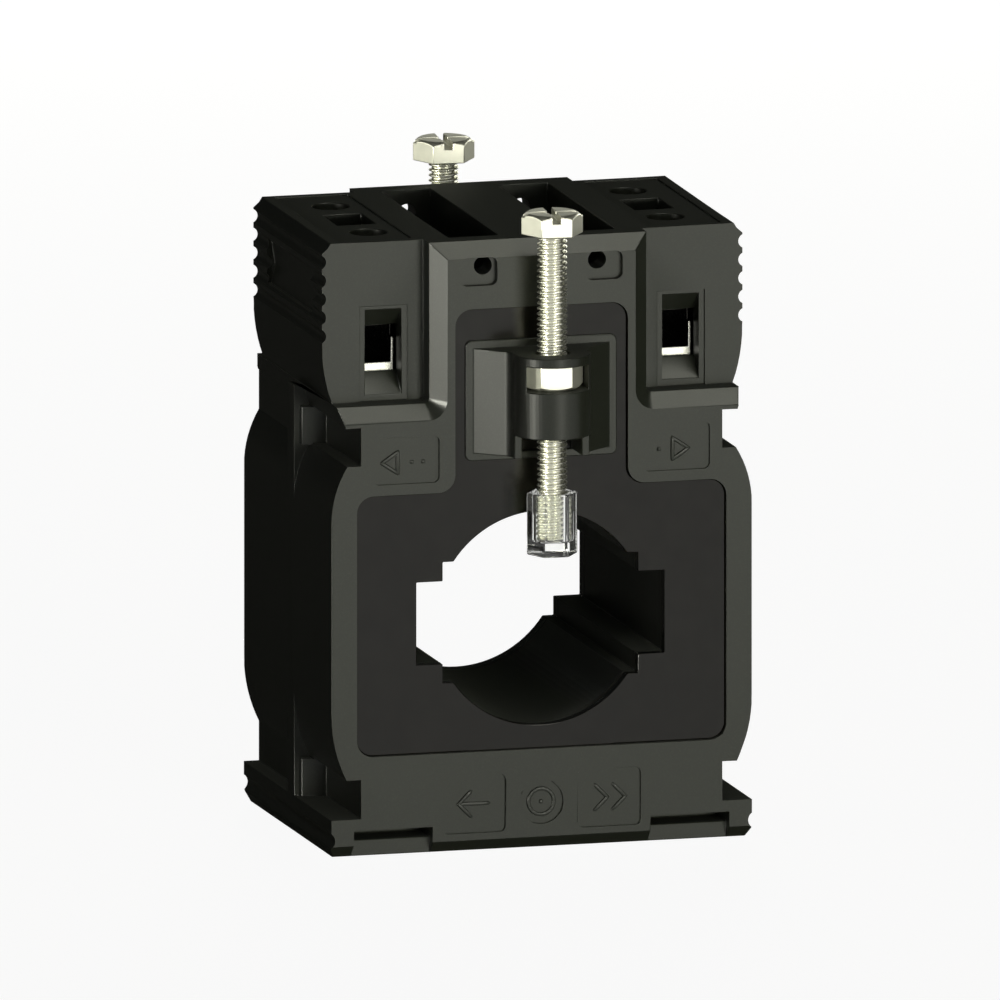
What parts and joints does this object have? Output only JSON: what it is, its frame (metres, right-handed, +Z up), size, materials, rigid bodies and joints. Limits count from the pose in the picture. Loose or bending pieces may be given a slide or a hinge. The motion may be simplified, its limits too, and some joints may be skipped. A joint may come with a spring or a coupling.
{
  "type": "current transformer",
  "caption": "Window-type current transformer in a moulded case with a stepped window, two terminal blocks on top and a clamp screw at the front and rear.",
  "frame": {"origin": "centre of the base, on the surface that the part stands on", "axes": "+Z up, +Y to the rear along the cable's axis, +X to the right of the front face"},
  "size_m": [0.056, 0.0624, 0.0842],
  "materials": {
    "case_plastic": "dark olive grey, fine moulded texture, satin",
    "panel_plastic": "dark brownish grey, smooth",
    "nickel_plate": "bright nickel plate",
    "terminal_metal": "nickel plate",
    "clear_plastic": "clear",
    "core_steel": "wound strip",
    "insulation": "film",
    "copper": "enamelled wire"
  },
  "bodies": {
    "case": {"front_shell": "case_plastic", "rear_shell": "case_plastic", "front_panel": "panel_plastic", "rear_panel": "panel_plastic", "window_liner": "case_plastic", "ring_core": "core_steel", "core_cap_front": "insulation", "core_cap_rear": "insulation", "secondary_winding": "copper", "winding_tape": "insulation", "lead_left": "copper", "lead_right": "copper", "terminal_body_left": "terminal_metal", "terminal_body_right": "terminal_metal", "terminal_lid_left": "case_plastic", "terminal_lid_right": "case_plastic", "clamp_holder_front": "case_plastic", "clamp_holder_rear": "case_plastic", "clamp_nut_front": "nickel_plate", "clamp_nut_rear": "nickel_plate"},
    "front_cap": {"clamp_cap_front": "clear_plastic"},
    "front_screw": {"clamp_screw_front": "nickel_plate"},
    "rear_cap": {"clamp_cap_rear": "clear_plastic"},
    "rear_screw": {"clamp_screw_rear": "nickel_plate"},
    "front_left_plate": {"clamping_plate_front_left": "terminal_metal"},
    "front_left_terminal_screw": {"terminal_screw_front_left": "terminal_metal"},
    "front_right_plate": {"clamping_plate_front_right": "terminal_metal"},
    "front_right_terminal_screw": {"terminal_screw_front_right": "terminal_metal"},
    "rear_left_plate": {"clamping_plate_rear_left": "terminal_metal"},
    "rear_left_terminal_screw": {"terminal_screw_rear_left": "terminal_metal"},
    "rear_right_plate": {"clamping_plate_rear_right": "terminal_metal"},
    "rear_right_terminal_screw": {"terminal_screw_rear_right": "terminal_metal"}
  },
  "joints": [
    {"name": "front_cap_travel", "type": "slide", "parent": "case", "child": "front_cap", "axis": [0, 0, 1], "range_m": [-0.0155, 0.007]},
    {"name": "front_screw_turn", "type": "hinge", "parent": "front_cap", "child": "front_screw", "pos_m": [0, -0.0262, 0.06], "axis": [0, 0, 1], "range_deg": [-7972, 3601]},
    {"name": "rear_cap_travel", "type": "slide", "parent": "case", "child": "rear_cap", "axis": [0, 0, 1], "range_m": [-0.0155, 0.007]},
    {"name": "rear_screw_turn", "type": "hinge", "parent": "rear_cap", "child": "rear_screw", "pos_m": [0, 0.0262, 0.06], "axis": [0, 0, 1], "range_deg": [-7972, 3601]},
    {"name": "front_left_plate_travel", "type": "slide", "parent": "case", "child": "front_left_plate", "axis": [0, 0, 1], "range_m": [-0.0044, 0.0001]},
    {"name": "front_left_terminal_screw_turn", "type": "hinge", "parent": "front_left_plate", "child": "front_left_terminal_screw", "pos_m": [-0.0198, -0.0091, 0.07], "axis": [0, 0, 1], "range_deg": [-3169, 73]},
    {"name": "front_right_plate_travel", "type": "slide", "parent": "case", "child": "front_right_plate", "axis": [0, 0, 1], "range_m": [-0.0044, 0.0001]},
    {"name": "front_right_terminal_screw_turn", "type": "hinge", "parent": "front_right_plate", "child": "front_right_terminal_screw", "pos_m": [0.0198, -0.0091, 0.07], "axis": [0, 0, 1], "range_deg": [-3169, 73]},
    {"name": "rear_left_plate_travel", "type": "slide", "parent": "case", "child": "rear_left_plate", "axis": [0, 0, 1], "range_m": [-0.0044, 0.0001]},
    {"name": "rear_left_terminal_screw_turn", "type": "hinge", "parent": "rear_left_plate", "child": "rear_left_terminal_screw", "pos_m": [-0.0198, 0.0091, 0.07], "axis": [0, 0, 1], "range_deg": [-3169, 73]},
    {"name": "rear_right_plate_travel", "type": "slide", "parent": "case", "child": "rear_right_plate", "axis": [0, 0, 1], "range_m": [-0.0044, 0.0001]},
    {"name": "rear_right_terminal_screw_turn", "type": "hinge", "parent": "rear_right_plate", "child": "rear_right_terminal_screw", "pos_m": [0.0198, 0.0091, 0.07], "axis": [0, 0, 1], "range_deg": [-3169, 73]}
  ],
  "couplings": [
    {"joint": "front_screw_turn", "follows": "front_cap_travel", "rad_per_m": 8976},
    {"joint": "rear_screw_turn", "follows": "rear_cap_travel", "rad_per_m": 8976},
    {"joint": "front_left_terminal_screw_turn", "follows": "front_left_plate_travel", "rad_per_m": 12566},
    {"joint": "front_right_terminal_screw_turn", "follows": "front_right_plate_travel", "rad_per_m": 12566},
    {"joint": "rear_left_terminal_screw_turn", "follows": "rear_left_plate_travel", "rad_per_m": 12566},
    {"joint": "rear_right_terminal_screw_turn", "follows": "rear_right_plate_travel", "rad_per_m": 12566}
  ]
}
